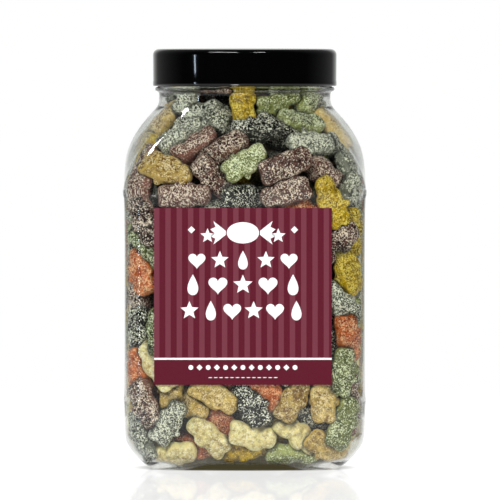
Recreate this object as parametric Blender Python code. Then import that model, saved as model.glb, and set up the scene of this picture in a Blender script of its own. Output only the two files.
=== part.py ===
"""A clear square jar full of dusted jelly babies, with a black screw lid and a striped label.

Metres, +Z up. The origin is the centre of the base on the surface that the jar stands on,
and the label faces -Y.
"""

import bisect
import math
import random

import bmesh
import bpy
from mathutils import Matrix, Vector

# Jar, blow moulded in clear plastic
WALL = 0.0010
CORNER_SHARE = 0.265  # corner radius as a share of the half width: 16 mm on the body
PANEL_HALF = 0.0596  # half the width across the flat label panels
HEEL_BEAD_HALF = 0.0602
SHOULDER_BEAD_HALF = 0.0606
HEEL_BEAD_Z = 0.0345
SHOULDER_BEAD_Z = 0.1375
NECK_START_Z = 0.1810
NECK_RADIUS = 0.0427
COLLAR_RADIUS = 0.0448
COLLAR_Z = 0.1880
COLLAR_THICK = 0.0017
RIM_Z = 0.2068
BASE_WALL = 0.0015
ARCH_HEIGHT = 0.0025  # the base is lifted between its four corner feet
ARCH_FADE_Z = 0.0110

# Screw lid
LID_RADIUS = 0.04585
LID_BOTTOM_Z = 0.1903
LID_TOP_Z = 0.2092
LID_ROUND = 0.0030
LID_WALL = 0.0013
LID_CROWN = 0.0004

# Label on the front panel
LABEL_WIDTH = 0.0880
LABEL_HEIGHT = 0.0876
LABEL_MIDDLE_X = -0.0009
LABEL_MIDDLE_Z = 0.0865
LABEL_THICK = 0.0002
GAP = 0.0003  # between one piece and the next

# Jelly babies
SWEET_LENGTH = 0.0300
SWEET_WIDTH = 0.0165
SWEET_DEPTH = 0.0118
SWEET_SIDES = 6
# share of the length from the feet, share of the width, share of the depth
SWEET_RINGS = (
    (0.06, 0.70, 0.80),  # feet
    (0.46, 1.00, 1.00),  # folded arms
    (0.70, 0.64, 0.80),  # neck
    (0.87, 0.72, 0.88),  # head
)
SIZE_SPREAD = 0.10
CORE_DEPTH = 0.0050  # from the wall to the plain middle of the heap
CORE_TOP_Z = 0.1985
# The heap's foot from the middle outwards, over the hollow of the base: height, half width
CORE_FOOT = (
    (0.0085, 0.0300),
    (0.0064, 0.0400),
    (0.0068, 0.0446),
    (0.0090, 0.0474),
    (0.0130, 0.0508),
    (0.0200, 0.0531),
)
HEAP_TOP_SPARE = 0.0040  # how far a sweet may stand above the core, under the lid
ROW_PITCH = 0.0200
ROW_FIRST_Z = 0.0125
ROW_LAST_Z = 0.1930
SWEET_PITCH = 0.0270
BASE_GRID = 3
BASE_PITCH = 0.0290
SWEET_GAP = 0.0007  # from the wall, whose corners are made of straight facets
NUDGE = 0.0003
LEAN = 14.0  # most that a sweet leans out of the wall's plane, in degrees
JITTER = 0.0030
SEED = 1

# Outline: points round one quarter, from the middle of a side to the middle of the next
SIDE_STEPS = 2
CORNER_STEPS = 4

# The jar's outer profile from the edge of the foot up to the rim: height, half width
OUTER_PROFILE = (
    (0.0000, 0.0405),
    (0.0000, 0.0450),
    (0.0012, 0.0476),
    (0.0042, 0.0514),
    (0.0082, 0.0549),
    (0.0112, 0.0573),
    (0.0145, 0.0589),
    (0.0200, 0.0595),
    (0.0315, 0.0598),
    (HEEL_BEAD_Z, HEEL_BEAD_HALF),
    (0.0375, PANEL_HALF),
    (0.1335, PANEL_HALF),
    (SHOULDER_BEAD_Z, SHOULDER_BEAD_HALF),
    (0.1440, 0.0605),
    (0.1520, 0.0597),
    (0.1590, 0.0583),
    (0.1650, 0.0555),
    (0.1705, 0.0520),
    (0.1757, 0.0476),
    (0.1790, 0.0445),
    (NECK_START_Z, 0.0432),
    (0.1830, NECK_RADIUS),
    (COLLAR_Z - 0.0007, NECK_RADIUS),
    (COLLAR_Z, COLLAR_RADIUS),
    (COLLAR_Z + COLLAR_THICK, COLLAR_RADIUS),
    (COLLAR_Z + COLLAR_THICK + 0.0003, NECK_RADIUS),
    (RIM_Z, NECK_RADIUS),
)
# The inner face, which passes the beads and the collar by
INNER_PROFILE = (
    (0.0015, 0.0440),
    (0.0050, 0.0502),
    (0.0088, 0.0536),
    (0.0120, 0.0561),
    (0.0155, 0.0579),
    (0.0210, PANEL_HALF - WALL),
    (0.1400, 0.0595),
    (0.1520, 0.0587),
    (0.1585, 0.0573),
    (0.1643, 0.0545),
    (0.1697, 0.0511),
    (0.1750, 0.0467),
    (0.1785, 0.0434),
    (NECK_START_Z, NECK_RADIUS - WALL - 0.0004),
    (RIM_Z, NECK_RADIUS - WALL - 0.0004),
)
# The hollow under the base, from its middle outwards: half width, height
PUSH_UP_PROFILE = ((0.0000, 0.0060), (0.0200, 0.0055), (0.0330, 0.0033), (0.0440, 0.0000))


def smooth_step(value):
    value = min(max(value, 0.0), 1.0)
    return value * value * (3 - 2 * value)


def roundness(z):
    """0 where the jar is square in plan, 1 where it is round, as at the neck."""
    return smooth_step((z - SHOULDER_BEAD_Z) / (NECK_START_Z - SHOULDER_BEAD_Z))


def square_reach(angle):
    """Polar radius of a rounded square of half width 1, at an angle in radians."""
    turned = abs((angle + math.pi / 4) % (math.pi / 2) - math.pi / 4)
    centre = 1 - CORNER_SHARE
    if math.tan(turned) <= centre:
        return 1 / math.cos(turned)
    along = centre * math.sqrt(2) * math.cos(math.pi / 4 - turned)
    aside = centre * math.sqrt(2) * math.sin(math.pi / 4 - turned)
    return along + math.sqrt(CORNER_SHARE**2 - aside**2)


def outline_angles():
    """Polar angles round the rounded square: even along its sides and even round its corners."""
    centre = 1 - CORNER_SHARE
    side = [math.atan(centre * i / SIDE_STEPS) for i in range(SIDE_STEPS)]
    corner = []
    for i in range(CORNER_STEPS + 1):
        turn = math.pi / 2 * i / CORNER_STEPS
        x = centre + CORNER_SHARE * math.cos(turn)
        y = centre + CORNER_SHARE * math.sin(turn)
        corner.append(math.atan2(y, x))
    far_side = [math.pi / 2 - angle for angle in reversed(side[1:])]
    quarter = side + corner + far_side
    return [angle + math.pi / 2 * k for k in range(4) for angle in quarter]


ANGLES = outline_angles()


def reach(angle, z):
    """Polar radius at height z of an outline of half width 1."""
    return square_reach(angle) + (1 - square_reach(angle)) * roundness(z)


def arch(x, y):
    """How far the base is lifted here: most in the middle of each side, nothing at the feet."""
    straight = 1 - CORNER_SHARE
    aside = min(abs(x), abs(y)) / max(abs(x), abs(y), WALL)
    return ARCH_HEIGHT * min(max((straight - aside) * SIDE_STEPS / straight, 0.0), 1.0)


def jar_ring(z, half):
    """One closed ring of points on the jar, square or round as the height asks."""
    count = len(ANGLES)
    ring = []
    for i, square_angle in enumerate(ANGLES):
        even_angle = 2 * math.pi * i / count
        angle = square_angle + (even_angle - square_angle) * roundness(z)
        radius = half * reach(angle, z)
        x = radius * math.cos(angle)
        y = radius * math.sin(angle)
        lift = arch(x, y) * max(0.0, 1 - z / ARCH_FADE_Z)
        ring.append(Vector((x, y, z + lift)))
    return ring


def circle_ring(z, radius, count):
    turns = [2 * math.pi * i / count for i in range(count)]
    return [Vector((radius * math.cos(t), radius * math.sin(t), z)) for t in turns]


def skin(mesh, rings, closed_ends=True):
    """Joins rings of points into one surface, each end closed by a fan round its centre."""
    loops = [[mesh.verts.new(point) for point in ring] for ring in rings]
    for lower, upper in zip(loops, loops[1:]):
        for i in range(len(lower)):
            j = (i + 1) % len(lower)
            mesh.faces.new((lower[i], lower[j], upper[j], upper[i]))
    if closed_ends:
        for loop, flip in ((loops[0], True), (loops[-1], False)):
            centre = mesh.verts.new(sum((v.co for v in loop), Vector()) / len(loop))
            for i in range(len(loop)):
                j = (i + 1) % len(loop)
                corners = (loop[j], loop[i], centre) if flip else (loop[i], loop[j], centre)
                mesh.faces.new(corners)


def material(name, colour, roughness_value, alpha=1.0):
    made = bpy.data.materials.new(name)
    made.use_nodes = True
    shader = made.node_tree.nodes["Principled BSDF"]
    shader.inputs["Base Color"].default_value = (*colour, 1.0)
    shader.inputs["Roughness"].default_value = roughness_value
    shader.inputs["Metallic"].default_value = 0.0
    shader.inputs["Alpha"].default_value = alpha
    return made


def add_object(name, mesh, finish, sharp_degrees=35.0):
    """Makes the object from a bmesh, smooth but for its sharp edges."""
    bmesh.ops.recalc_face_normals(mesh, faces=mesh.faces)
    data = bpy.data.meshes.new(name)
    mesh.to_mesh(data)
    mesh.free()
    data.materials.append(finish)
    data.shade_smooth()
    data.set_sharp_from_angle(angle=math.radians(sharp_degrees))
    made = bpy.data.objects.new(name, data)
    bpy.context.scene.collection.objects.link(made)
    return made


def make_jar(finish):
    """The jar: up the outside from the middle of the base, over the rim and down the inside."""
    hollow = PUSH_UP_PROFILE[1:-1]
    outside = [jar_ring(z, half) for half, z in hollow]
    outside += [jar_ring(z, half) for z, half in OUTER_PROFILE]
    inside = [jar_ring(z, half) for z, half in reversed(INNER_PROFILE)]
    inside += [jar_ring(z + BASE_WALL, half) for half, z in reversed(hollow)]
    mesh = bmesh.new()
    skin(mesh, outside + inside)
    return add_object("jar", mesh, finish)


def make_lid(finish):
    """The lid: a cup upside down, smooth outside, with a rounded top edge and a slight crown."""
    count = len(ANGLES)
    inner_radius = LID_RADIUS - LID_WALL
    rings = [
        circle_ring(LID_TOP_Z - LID_CROWN - LID_WALL, inner_radius * 0.95, count),
        circle_ring(LID_TOP_Z - LID_CROWN - LID_WALL - 0.0010, inner_radius, count),
        circle_ring(LID_BOTTOM_Z, inner_radius, count),
        circle_ring(LID_BOTTOM_Z, LID_RADIUS, count),
    ]
    for degrees in (0, 30, 60, 90):
        turn = math.radians(degrees)
        radius = LID_RADIUS - LID_ROUND * (1 - math.cos(turn))
        z = LID_TOP_Z - LID_CROWN - LID_ROUND * (1 - math.sin(turn))
        rings.append(circle_ring(z, radius, count))
    rings.append(circle_ring(LID_TOP_Z, LID_RADIUS * 0.5, count))
    mesh = bmesh.new()
    skin(mesh, rings)
    return add_object("lid", mesh, finish)


def make_label(finish):
    """The label: a thin square sheet that lies along the flat front panel."""
    back_y = -(PANEL_HALF + GAP)
    low = Vector((LABEL_MIDDLE_X - LABEL_WIDTH / 2, back_y, LABEL_MIDDLE_Z - LABEL_HEIGHT / 2))
    mesh = bmesh.new()
    corners = [
        low,
        low + Vector((LABEL_WIDTH, 0, 0)),
        low + Vector((LABEL_WIDTH, 0, LABEL_HEIGHT)),
        low + Vector((0, 0, LABEL_HEIGHT)),
    ]
    face = mesh.faces.new([mesh.verts.new(point) for point in corners])
    pulled = bmesh.ops.extrude_face_region(mesh, geom=[face])
    front = [item for item in pulled["geom"] if isinstance(item, bmesh.types.BMVert)]
    bmesh.ops.translate(mesh, verts=front, vec=Vector((0, -LABEL_THICK, 0)))
    return add_object("label", mesh, finish)


def between(levels, value):
    """Reads a table of pairs at a value, in a straight line from one pair to the next."""
    above = min(max(bisect.bisect([level[0] for level in levels], value), 1), len(levels) - 1)
    (low, at_low), (high, at_high) = levels[above - 1], levels[above]
    return at_low + (at_high - at_low) * min(max((value - low) / (high - low), 0.0), 1.0)


def inner_half(z):
    """Half width of the jar's inside at height z."""
    return between(INNER_PROFILE, z)


def is_inside(point, clearance):
    """True if a point is in the jar, clear of its wall and floor."""
    if point.z > CORE_TOP_Z + HEAP_TOP_SPARE:
        return False
    z = point.z
    if z < ARCH_FADE_Z:
        lift = arch(point.x, point.y)
        z = (z - lift) / (1 - lift / ARCH_FADE_Z)
    half = math.hypot(point.x, point.y) / reach(math.atan2(point.y, point.x), z)
    floor = between(PUSH_UP_PROFILE, half) + BASE_WALL
    return half < inner_half(z) - clearance and z > floor + clearance


def make_core(finish):
    """The plain middle of the heap, which the sweets at the wall are fused to."""
    levels = list(CORE_FOOT)
    heights = (0.030, 0.060, 0.100, 0.140, 0.152, 0.160, 0.168, 0.1755, 0.183, CORE_TOP_Z)
    levels += [(z, inner_half(z) - CORE_DEPTH) for z in heights]
    mesh = bmesh.new()
    skin(mesh, [jar_ring(z, half)[::2] for z, half in levels])
    return add_object("jelly_babies", mesh, finish)


def sweet_mesh():
    """One jelly baby with few sides, along +X from feet to head, on its back."""
    mesh = bmesh.new()
    rings = []
    for share, wide, deep in SWEET_RINGS:
        ring = []
        for i in range(SWEET_SIDES):
            turn = 2 * math.pi * (i + 0.5) / SWEET_SIDES
            y = SWEET_WIDTH / 2 * wide * math.cos(turn)
            z = SWEET_DEPTH / 2 * deep * math.sin(turn)
            ring.append(Vector(((share - 0.5) * SWEET_LENGTH, y, z)))
        rings.append(ring)
    skin(mesh, rings)
    for vertex in mesh.verts:
        if len(vertex.link_edges) == SWEET_SIDES:  # the middle of an end is drawn out to a tip
            vertex.co.x = math.copysign(SWEET_LENGTH / 2, vertex.co.x)
    bmesh.ops.recalc_face_normals(mesh, faces=mesh.faces)
    data = bpy.data.meshes.new("sweet")
    mesh.to_mesh(data)
    mesh.free()
    return data


def wall_points(z, pitch, shift):
    """Points evenly spaced round the inner wall at height z, each with its outward direction."""
    ring = [point * 1.0 for point in jar_ring(z, inner_half(z))]
    lengths = [(ring[(i + 1) % len(ring)] - ring[i]).length for i in range(len(ring))]
    total = sum(lengths)
    count = round(total / pitch)
    found = []
    for k in range(count):
        left = total * ((k + shift) / count % 1.0)
        side = 0
        while left > lengths[side]:
            left -= lengths[side]
            side = (side + 1) % len(ring)
        start, end = ring[side], ring[(side + 1) % len(ring)]
        along = (end - start).normalized()
        outward = Vector((along.y, -along.x, 0.0))
        found.append((start + along * left, outward))
    return found


def settle(data, turn, size, start, towards):
    """Moves a sweet from the wall inwards until all of it is inside the jar."""
    shape = turn * size
    points = [shape @ vertex.co for vertex in data.vertices]
    points += [(points[a] + points[b]) / 2 for a, b in (edge.vertices for edge in data.edges)]
    inward = (towards - start).normalized()
    place = start.copy()
    while not all(is_inside(place + point, SWEET_GAP) for point in points):
        place += inward * NUDGE
    return place


def wall_sweets(data, draw):
    """Sweets that lie against the wall, row by row from the heel to the neck."""
    placed = []
    rows = round((ROW_LAST_Z - ROW_FIRST_Z) / ROW_PITCH) + 1
    for row in range(rows):
        z = ROW_FIRST_Z + (ROW_LAST_Z - ROW_FIRST_Z) * row / (rows - 1)
        for start, outward in wall_points(z, SWEET_PITCH, 0.5 * (row % 2)):
            along = Vector((0, 0, 1)).cross(outward)
            start = start + along * draw.uniform(-JITTER, JITTER)
            start.z += draw.uniform(-JITTER, JITTER)
            facing = Matrix((along, Vector((0, 0, 1)), outward)).transposed()
            spin = Matrix.Rotation(draw.uniform(0, 2 * math.pi), 3, "Z")
            lean = Matrix.Rotation(math.radians(draw.uniform(-LEAN, LEAN)), 3, "Y")
            roll = Matrix.Rotation(math.radians(draw.choice((0, 0, 180, 60, -60))), 3, "X")
            turn = facing @ spin @ lean @ roll
            size = 1 + draw.uniform(-SIZE_SPREAD, SIZE_SPREAD)
            towards = Vector((0, 0, min(max(z, 0.030), 0.150)))
            placed.append((turn, size, settle(data, turn, size, start, towards)))
    return placed


def base_sweets(data, draw):
    """Sweets that lie on the floor of the jar, which show from below."""
    placed = []
    for column in range(BASE_GRID):
        for row in range(BASE_GRID):
            x = (column - (BASE_GRID - 1) / 2) * BASE_PITCH + draw.uniform(-JITTER, JITTER)
            y = (row - (BASE_GRID - 1) / 2) * BASE_PITCH + draw.uniform(-JITTER, JITTER)
            turn = Matrix.Rotation(draw.uniform(0, 2 * math.pi), 3, "Z")
            size = 1 + draw.uniform(-SIZE_SPREAD, SIZE_SPREAD)
            start = Vector((x, y, 0.0))
            placed.append((turn, size, settle(data, turn, size, start, start + Vector((0, 0, 1)))))
    return placed


def keep_outer_skin(made):
    """Fills the hollows that fusing has sealed and drops loose scraps: the widest skin stays."""
    mesh = bmesh.new()
    mesh.from_mesh(made.data)
    mesh.verts.ensure_lookup_table()
    left = set(mesh.verts)
    skins = []
    while left:
        patch = {left.pop()}
        edge = list(patch)
        while edge:
            near = edge.pop()
            for link in near.link_edges:
                other = link.other_vert(near)
                if other not in patch:
                    patch.add(other)
                    edge.append(other)
        left -= patch
        skins.append(patch)
    skins.sort(key=lambda patch: max(v.co.z for v in patch) - min(v.co.z for v in patch))
    scraps = [vertex for patch in skins[:-1] for vertex in patch]
    bmesh.ops.delete(mesh, geom=scraps, context="VERTS")
    mesh.to_mesh(made.data)
    mesh.free()


def make_heap(finish):
    """The jelly babies: one solid, with each sweet that shows at the wall fused to the core."""
    draw = random.Random(SEED)
    data = sweet_mesh()
    group = bpy.data.collections.new("sweets")
    for turn, size, place in wall_sweets(data, draw) + base_sweets(data, draw):
        sweet = bpy.data.objects.new("sweet", data)
        sweet.matrix_world = Matrix.LocRotScale(place, turn.to_quaternion(), (size, size, size))
        group.objects.link(sweet)
    bpy.context.scene.collection.children.link(group)
    heap = make_core(finish)
    union = heap.modifiers.new("fuse", "BOOLEAN")
    union.operation = "UNION"
    union.operand_type = "COLLECTION"
    union.collection = group
    union.solver = "MANIFOLD"
    bpy.context.view_layer.update()
    graph = bpy.context.evaluated_depsgraph_get()
    fused = bpy.data.meshes.new_from_object(heap.evaluated_get(graph))
    heap.modifiers.clear()
    heap.data = fused
    for sweet in list(group.objects):
        bpy.data.objects.remove(sweet)
    bpy.data.collections.remove(group)
    keep_outer_skin(heap)
    return heap


def main():
    for old in list(bpy.data.objects):
        bpy.data.objects.remove(old)
    clear_plastic = material("clear_plastic", (0.86, 0.90, 0.88), 0.05, alpha=0.3)
    black_plastic = material("black_plastic", (0.008, 0.008, 0.009), 0.16)
    printed_paper = material("printed_paper", (0.112, 0.012, 0.030), 0.40)
    dusted_jelly = material("dusted_jelly", (0.42, 0.34, 0.22), 0.60)
    make_jar(clear_plastic)
    make_lid(black_plastic)
    make_label(printed_paper)
    make_heap(dusted_jelly)


main()
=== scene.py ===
# %% [markdown]
# # A jar of jelly babies
#
# The real thing is a clear square jar with a black screw lid, a striped label and some
# hundreds of dusted sweets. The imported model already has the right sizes, so each step below
# dresses one part of it: first the clear jar, then the lid, the label, and last the sweets.

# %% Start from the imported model
from math import cos, pi, radians, sin, sqrt

import bmesh
import bpy
import numpy as np
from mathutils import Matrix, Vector


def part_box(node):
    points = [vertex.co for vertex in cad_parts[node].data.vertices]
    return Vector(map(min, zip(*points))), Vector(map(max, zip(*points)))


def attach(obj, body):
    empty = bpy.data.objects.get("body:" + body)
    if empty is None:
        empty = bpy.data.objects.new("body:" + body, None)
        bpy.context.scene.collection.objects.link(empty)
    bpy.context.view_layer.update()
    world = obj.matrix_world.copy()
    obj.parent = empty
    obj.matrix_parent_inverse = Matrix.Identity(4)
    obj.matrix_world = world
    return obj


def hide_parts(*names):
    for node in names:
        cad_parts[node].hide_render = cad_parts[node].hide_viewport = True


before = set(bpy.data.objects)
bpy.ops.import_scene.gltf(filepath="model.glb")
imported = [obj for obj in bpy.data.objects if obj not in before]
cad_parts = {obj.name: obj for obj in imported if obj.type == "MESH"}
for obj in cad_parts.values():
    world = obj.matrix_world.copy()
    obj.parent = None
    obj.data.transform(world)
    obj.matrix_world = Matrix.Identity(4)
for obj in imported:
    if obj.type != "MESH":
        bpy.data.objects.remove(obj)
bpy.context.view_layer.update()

# %% [markdown]
# ## Sizes that several steps share
#
# The jar is blow moulded, so one profile describes it: a list of heights, each with half the
# jar's width there. A short table is easy to check against a ruler, and code turns it into
# smooth rings.

# %% The jar's profile, in metres
BASE_WALL = 0.0015
PANEL_HALF = 0.0596
CORNER_SHARE = 0.265  # corner radius as a share of the half width
SHOULDER_BEAD_Z = 0.1375
NECK_START_Z = 0.1810
NECK_RADIUS = 0.0427
COLLAR_RADIUS = 0.0448
COLLAR_Z = 0.1880
COLLAR_THICK = 0.0017
COLLAR_EDGE = 0.0003
RIM_Z = 0.2068
OUTER_PROFILE = (
    (0.0000, 0.0405), (0.0000, 0.0450), (0.0012, 0.0476), (0.0042, 0.0514), (0.0082, 0.0549),
    (0.0112, 0.0573), (0.0145, 0.0589), (0.0200, 0.0595), (0.0315, 0.0598), (0.0345, 0.0602),
    (0.0375, PANEL_HALF), (0.1335, PANEL_HALF), (SHOULDER_BEAD_Z, 0.0606), (0.1390, 0.06055),
    (0.1398, 0.06025), (0.1440, 0.0602), (0.1520, 0.0597), (0.1590, 0.0583), (0.1650, 0.0555),
    (0.1705, 0.0520), (0.1757, 0.0476), (0.1790, 0.0445), (NECK_START_Z, 0.0432),
    (0.1830, NECK_RADIUS), (COLLAR_Z - 0.0007, NECK_RADIUS), (COLLAR_Z, COLLAR_RADIUS),
    (COLLAR_Z + COLLAR_THICK, COLLAR_RADIUS),
    (COLLAR_Z + COLLAR_THICK + COLLAR_EDGE, NECK_RADIUS), (RIM_Z, NECK_RADIUS),
)
INNER_PROFILE = (
    (0.0015, 0.0440), (0.0050, 0.0502), (0.0088, 0.0536), (0.0120, 0.0561), (0.0155, 0.0579),
    (0.0210, 0.0586), (0.1400, 0.0595), (0.1520, 0.0587), (0.1585, 0.0573), (0.1643, 0.0545),
    (0.1697, 0.0511), (0.1750, 0.0467), (0.1785, 0.0434), (NECK_START_Z, 0.0413),
    (RIM_Z, 0.0413),
)
PUSH_UP_PROFILE = ((0.0000, 0.0060), (0.0200, 0.0055), (0.0330, 0.0033), (0.0440, 0.0000))
print("corner radius:", round(CORNER_SHARE * PANEL_HALF * 1000, 1), "mm")

# %% Rings of points that are square low down and round at the neck
ARCH_HEIGHT = 0.0025  # the base is lifted between its four feet
ARCH_SLOPE = 2  # how steeply it rises beside a foot
ARCH_FADE_Z = 0.0110
NEAR_AXIS = 0.0010  # keeps the arch from dividing by zero at the axis
OUTLINE_STEPS = 4001


def length(vectors):
    return np.linalg.norm(vectors, axis=-1)


def smooth_step(value):
    value = np.clip(value, 0.0, 1.0)
    return value * value * (3 - 2 * value)


def roundness(z):
    """0 where the jar is square in plan, 1 where it is round."""
    return smooth_step((z - SHOULDER_BEAD_Z) / (NECK_START_Z - SHOULDER_BEAD_Z))


def square_reach(angle):
    """Polar radius of a rounded square of half width 1."""
    turned = np.abs((angle + pi / 4) % (pi / 2) - pi / 4)
    centre = 1 - CORNER_SHARE
    diagonal = centre * sqrt(2)
    along = diagonal * np.cos(pi / 4 - turned)
    aside = diagonal * np.sin(pi / 4 - turned)
    round_part = along + np.sqrt(np.maximum(CORNER_SHARE**2 - aside**2, 0))
    return np.where(np.tan(turned) <= centre, 1 / np.cos(turned), round_part)


def even_angles(count):
    """Angles round the rounded square, spaced evenly along its outline."""
    fine = np.linspace(0, 2 * pi, OUTLINE_STEPS)
    reach = square_reach(fine)
    steps = np.hypot(np.diff(reach * np.cos(fine)), np.diff(reach * np.sin(fine)))
    along = np.concatenate([[0], np.cumsum(steps)])
    return np.interp(np.arange(count) / count * along[-1], along, fine)


def arch(x, y):
    """How far the base is lifted here: most in the middle of each side, nothing at the feet."""
    straight = 1 - CORNER_SHARE
    aside = np.minimum(abs(x), abs(y)) / np.maximum(np.maximum(abs(x), abs(y)), NEAR_AXIS)
    return ARCH_HEIGHT * smooth_step((straight - aside) * ARCH_SLOPE / straight)


def jar_ring(z, half, count):
    square = even_angles(count)
    even = np.arange(count) * 2 * pi / count
    blend = roundness(z)
    angle = square + (even - square) * blend
    radius = half * (square_reach(angle) + (1 - square_reach(angle)) * blend)
    x, y = radius * np.cos(angle), radius * np.sin(angle)
    lift = arch(x, y) * max(0.0, 1 - z / ARCH_FADE_Z)
    return np.stack([x, y, z + lift], axis=1)


def soften(profile, passes=2):
    """Cuts the corners of a profile, so that it bends smoothly and keeps its ends."""
    points = np.array(profile, float)
    for _ in range(passes):
        near = points[:-1] * 0.75 + points[1:] * 0.25
        far = points[:-1] * 0.25 + points[1:] * 0.75
        cut = np.stack([near, far], axis=1).reshape(-1, 2)
        points = np.vstack([points[:1], cut, points[-1:]])
    return points


# %% Making mesh objects
def in_scene(name, data):
    made = bpy.data.objects.new(name, data)
    bpy.context.scene.collection.objects.link(made)
    return made


def mesh_object(name, points, faces, finish, smooth=True):
    data = bpy.data.meshes.new(name)
    data.from_pydata([tuple(p) for p in points], [], faces)
    data.materials.append(finish)
    if smooth:
        data.shade_smooth()
    data.update()
    return in_scene(name, data)


def skin(rings):
    """Points and faces of a closed skin over rings of equal count, with a fan at each end."""
    count = len(rings[0])
    last = (len(rings) - 1) * count
    points = np.vstack(rings + [rings[0].mean(0)[None], rings[-1].mean(0)[None]])
    faces = []
    for low in range(0, last, count):
        for i in range(count):
            j = (i + 1) % count
            faces.append((low + i, low + j, low + count + j, low + count + i))
    for i in range(count):
        j = (i + 1) % count
        faces += [(j, i, len(points) - 2), (last + i, last + j, len(points) - 1)]
    return points, faces


# %% [markdown]
# ## Writing materials as sums
#
# A shader is a graph of nodes, which is hard to read in code. So one small class holds an
# output socket, and its operators add the Math nodes: `1 - mask` then means what it says.
# Every other node comes from one method, which takes its type, settings and inputs. It adds
# the word ShaderNode that all the types begin with.

# %% A socket that does arithmetic
MIX_A, MIX_B, MIX_RESULT = 6, 7, 2  # the sockets of a Mix node that carry colours


class Wire:
    """An output socket. Its operators add Math nodes, and node() adds any other node."""

    def __init__(self, socket):
        self.socket = socket

    @staticmethod
    def node(tree, kind, settings=None, inputs=None, output=0):
        made = tree.nodes.new(f"ShaderNode{kind}")
        for name, value in (settings or {}).items():
            setattr(made, name, value)
        for name, value in (inputs or {}).items():
            if isinstance(value, Wire):
                tree.links.new(value.socket, made.inputs[name])
            else:
                made.inputs[name].default_value = value
        return Wire(made.outputs[output]) if made.outputs else None

    def other(self, output):
        """Another output of the same node."""
        return Wire(self.socket.node.outputs[output])

    def math(self, operation, first, second):
        inputs = {0: first, 1: second}
        return Wire.node(self.socket.id_data, "Math", {"operation": operation}, inputs)

    def __add__(self, other):
        return self.math("ADD", self, other)

    def __sub__(self, other):
        return self.math("SUBTRACT", self, other)

    def __rsub__(self, other):
        return self.math("SUBTRACT", other, self)

    def __mul__(self, other):
        return self.math("MULTIPLY", self, other)

    def __gt__(self, other):
        return self.math("GREATER_THAN", self, other)

    def __mod__(self, other):
        return self.math("FLOORED_MODULO", self, other)

    __radd__ = __add__
    __rmul__ = __mul__

    def clamped(self):
        return Wire.node(self.socket.id_data, "Clamp", inputs={"Value": self})

    def ramp(self, start, slope):
        """0 up to the start, then rising by the slope until it stays at 1."""
        return ((self - start) * slope).clamped()

    def between(self, dark, light):
        """A colour that goes from dark to light as this value goes from 0 to 1."""
        settings = {"data_type": "RGBA"}
        inputs = {"Factor": self, MIX_A: colour_of(dark), MIX_B: colour_of(light)}
        return Wire.node(self.socket.id_data, "Mix", settings, inputs, MIX_RESULT)


def colour_of(value):
    return value if isinstance(value, Wire) else (*value, 1.0)


# %% Colours, textures and shaders that several finishes use
SCREEN_OFFSET, SCREEN_POWER = 0.055, 2.4  # the curve between a screen's numbers and light


def linear(red, green, blue):
    """A colour that is read off a screen, from 0 to 255, as the light that it stands for."""
    shares = ((v / 255 + SCREEN_OFFSET) / (1 + SCREEN_OFFSET) for v in (red, green, blue))
    return tuple(share**SCREEN_POWER for share in shares)


def noise(tree, point, scale, detail=2.0, roughness=0.5, swirl=0.0):
    inputs = {"Vector": point, "Scale": scale, "Detail": detail, "Roughness": roughness}
    inputs["Distortion"] = swirl
    return Wire.node(tree, "TexNoise", inputs=inputs)


def bump(tree, height, strength, distance):
    inputs = {"Height": height, "Strength": strength, "Distance": distance}
    return Wire.node(tree, "Bump", inputs=inputs)


def principled(tree, inputs):
    return Wire.node(tree, "BsdfPrincipled", inputs=inputs)


def mixed(tree, share, first, second):
    """The second shader by this share, and the first by the rest."""
    return Wire.node(tree, "MixShader", inputs={0: share, 1: first, 2: second})


def new_finish(name, surface):
    """A material with the shader that surface(tree, point) makes from a piece's own points."""
    made = bpy.data.materials.new(name)
    made.use_nodes = True
    tree = made.node_tree
    tree.nodes.clear()
    point = Wire.node(tree, "TexCoord", output="Object")
    Wire.node(tree, "OutputMaterial", inputs={"Surface": surface(tree, point)})
    return made


# %% [markdown]
# ## The clear jar
#
# The jar is about a millimetre of clear plastic with a faint grey-green cast, which shows
# where you look along the wall at the two edges. A Principled shader with full transmission
# bends the light as plastic does. Shadow rays get a Transparent shader instead, or the sweets
# inside would stay dark: lamps can't find their way through bending glass.

# %% Clear plastic
WALL_TINT = (0.935, 0.945, 0.925, 1.0)
SHADOW_TINT = (0.97, 0.98, 0.965, 1.0)


def clear_plastic(tree, point):
    waves = noise(tree, point, scale=45.0, detail=1.0)
    inputs = {
        "Base Color": WALL_TINT,
        "Roughness": 0.03,
        "IOR": 1.42,
        "Transmission Weight": 1.0,
        "Normal": bump(tree, waves, strength=0.12, distance=0.0006),
    }
    lit_through = Wire.node(tree, "BsdfTransparent", inputs={"Color": SHADOW_TINT})
    shadow_ray = Wire.node(tree, "LightPath", output="Is Shadow Ray")
    return mixed(tree, shadow_ray, principled(tree, inputs), lit_through)


# %% The jar's wall, outside and inside
RING_POINTS = 128


def jar_skin():
    hollow = np.array(PUSH_UP_PROFILE[1:-1])[:, ::-1]
    levels = [*hollow, *soften(OUTER_PROFILE), *soften(INNER_PROFILE)[::-1]]
    levels += [(z + BASE_WALL, half) for z, half in hollow[::-1]]
    return skin([jar_ring(z, half, RING_POINTS) for z, half in levels])


jar = mesh_object("clear_jar", *jar_skin(), new_finish("clear_plastic_wall", clear_plastic))
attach(jar, "root")
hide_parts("jar")
print("clear jar:", len(jar.data.polygons), "faces")

# %% [markdown]
# ## The screw lid
#
# The lid is moulded in gloss black, smooth round the side, with a rounded top edge. It is a
# shape turned on an axis, so a profile spun through rings of many points keeps its
# reflections straight. A very weak bump stands for the faint unevenness of a moulding.

# %% Gloss black plastic
DEEP_BLACK = (0.0004, 0.0004, 0.0005)
WORN_BLACK = (0.001, 0.001, 0.0011)


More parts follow.
